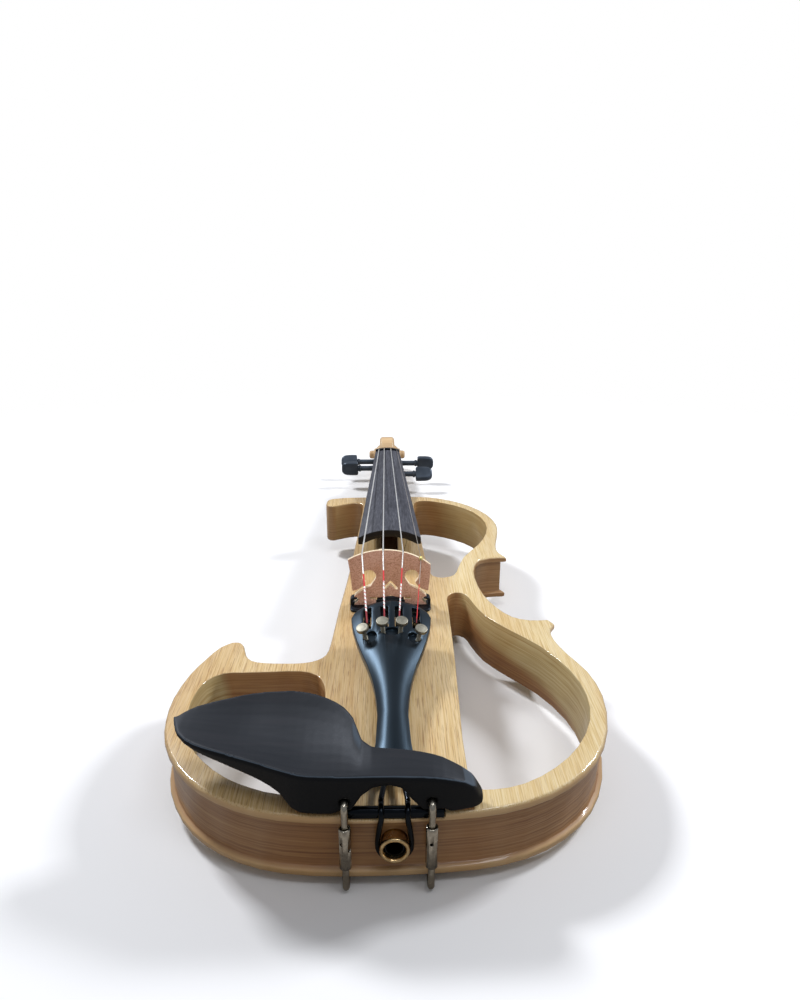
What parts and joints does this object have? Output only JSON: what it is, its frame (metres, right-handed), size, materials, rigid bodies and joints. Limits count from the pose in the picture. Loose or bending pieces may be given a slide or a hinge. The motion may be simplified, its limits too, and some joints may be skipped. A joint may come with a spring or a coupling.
{
  "type": "electric violin",
  "caption": "Electric violin with an open-frame solid wood body, pickup bridge tray, fine-tuner tailpiece, clamped side chinrest and a hollow end-pin output jack.",
  "frame": {"origin": "on the flat back of the body, on the centre line, straight under the bridge", "axes": "+X to the treble side, +Y from the tail end to the scroll, +Z out of the body through its top"},
  "size_m": [0.2096, 0.6109, 0.0874],
  "materials": {
    "maple": "pale straight-grained wood under clear gloss lacquer",
    "board": "black-stained hardwood, oiled, faint grain along the strings",
    "black_satin": "satin black",
    "black_gloss": "gloss black",
    "bridge_wood": "unfinished flecked reddish brown wood",
    "tray": "moulded black",
    "yellow": "translucent yellow tube",
    "gut": "gloss black nylon",
    "brass": "polished, slightly worn",
    "lead": "matt black sheath",
    "cork": "bare cork",
    "nickel": "nickel plated",
    "string_steel": "wound steel with coloured silk at the tail end",
    "pin_steel": "plain"
  },
  "bodies": {
    "violin": {"body": "maple", "neck_scroll": "maple", "fingerboard": "board", "nut": "black_gloss", "saddle": "black_gloss", "bridge": "bridge_wood", "bridge_pickup": "tray", "string_protector": "yellow", "tailpiece": "black_satin", "tail_gut": "gut", "endpin_jack": "brass", "jack_sleeve": "black_gloss", "jack_contact": "brass", "pickup_lead": "lead", "chinrest": "black_satin", "chinrest_cork_l": "cork", "chinrest_cork_r": "cork", "clamp_rod_l": "nickel", "clamp_rod_r": "nickel", "string_g": "string_steel", "tuner_pin_g": "pin_steel", "string_d": "string_steel", "tuner_pin_d": "pin_steel", "string_a": "string_steel", "tuner_pin_a": "pin_steel", "string_e": "string_steel", "tuner_pin_e": "pin_steel"},
    "peg_g": {"peg_g": "black_satin"},
    "peg_d": {"peg_d": "black_satin"},
    "peg_a": {"peg_a": "black_satin"},
    "peg_e": {"peg_e": "black_satin"},
    "screw_g": {"tuner_screw_g": "nickel"},
    "lever_g": {"tuner_lever_g": "black_gloss", "string_ball_g": "brass"},
    "screw_d": {"tuner_screw_d": "nickel"},
    "lever_d": {"tuner_lever_d": "black_gloss", "string_ball_d": "brass"},
    "screw_a": {"tuner_screw_a": "nickel"},
    "lever_a": {"tuner_lever_a": "black_gloss", "string_ball_a": "brass"},
    "screw_e": {"tuner_screw_e": "nickel"},
    "lever_e": {"tuner_lever_e": "black_gloss", "string_ball_e": "brass"},
    "barrel_l": {"clamp_barrel_l": "nickel"},
    "barrel_r": {"clamp_barrel_r": "nickel"},
    "clamp": {"clamp_foot": "nickel", "clamp_foot_cork": "cork"}
  },
  "joints": [
    {"name": "peg_g_turn", "type": "hinge", "parent": "violin", "child": "peg_g", "pos_m": [0, 0.35753, 0.00438], "axis": [1, 0, 0], "continuous": true},
    {"name": "peg_d_turn", "type": "hinge", "parent": "violin", "child": "peg_d", "pos_m": [0, 0.38696, 0.00237], "axis": [1, 0, 0], "continuous": true},
    {"name": "peg_a_turn", "type": "hinge", "parent": "violin", "child": "peg_a", "pos_m": [0, 0.37401, 0.00469], "axis": [1, 0, 0], "continuous": true},
    {"name": "peg_e_turn", "type": "hinge", "parent": "violin", "child": "peg_e", "pos_m": [0, 0.34277, 0.00268], "axis": [1, 0, 0], "continuous": true},
    {"name": "screw_g_turn", "type": "hinge", "parent": "violin", "child": "screw_g", "pos_m": [-0.0132, -0.06737, 0.04965], "axis": [-0.2237, -0.2301, 0.9471], "range_deg": [0, 1440]},
    {"name": "lever_g_rock", "type": "hinge", "parent": "violin", "child": "lever_g", "pos_m": [-0.0126, -0.05462, 0.04782], "axis": [1, 0, 0], "range_deg": [0, 8.7]},
    {"name": "screw_d_turn", "type": "hinge", "parent": "violin", "child": "screw_d", "pos_m": [-0.0043, -0.06505, 0.05196], "axis": [-0.0521, -0.2332, 0.971], "range_deg": [0, 1440]},
    {"name": "lever_d_rock", "type": "hinge", "parent": "violin", "child": "lever_d", "pos_m": [-0.0036, -0.05462, 0.04782], "axis": [1, 0, 0], "range_deg": [0, 8.7]},
    {"name": "screw_a_turn", "type": "hinge", "parent": "violin", "child": "screw_a", "pos_m": [0.0046, -0.06485, 0.05196], "axis": [0.0867, -0.2329, 0.9686], "range_deg": [0, 1440]},
    {"name": "lever_a_rock", "type": "hinge", "parent": "violin", "child": "lever_a", "pos_m": [0.004, -0.05462, 0.04782], "axis": [1, 0, 0], "range_deg": [0, 8.7]},
    {"name": "screw_e_turn", "type": "hinge", "parent": "violin", "child": "screw_e", "pos_m": [0.0136, -0.06833, 0.0493], "axis": [0.1898, -0.231, 0.9543], "range_deg": [0, 1440]},
    {"name": "lever_e_rock", "type": "hinge", "parent": "violin", "child": "lever_e", "pos_m": [0.0131, -0.05462, 0.04782], "axis": [1, 0, 0], "range_deg": [0, 8.7]},
    {"name": "barrel_l_turn", "type": "hinge", "parent": "violin", "child": "barrel_l", "pos_m": [-0.0193, -0.17353, 0.0092], "axis": [0, 0, 1], "range_deg": [0, 900]},
    {"name": "barrel_r_turn", "type": "hinge", "parent": "violin", "child": "barrel_r", "pos_m": [0.0145, -0.17353, 0.0092], "axis": [0, 0, 1], "range_deg": [0, 900]},
    {"name": "clamp_drop", "type": "slide", "parent": "violin", "child": "clamp", "axis": [0, 0, -1], "range_m": [0, 0.004]}
  ],
  "couplings": [
    {"joint": "lever_g_rock", "follows": "screw_g_turn", "ratio": 0.00604},
    {"joint": "lever_d_rock", "follows": "screw_d_turn", "ratio": 0.00604},
    {"joint": "lever_a_rock", "follows": "screw_a_turn", "ratio": 0.00604},
    {"joint": "lever_e_rock", "follows": "screw_e_turn", "ratio": 0.00604},
    {"joint": "barrel_l_turn", "follows": "clamp_drop", "rad_per_m": 3926.9},
    {"joint": "barrel_r_turn", "follows": "clamp_drop", "rad_per_m": 3926.9}
  ]
}
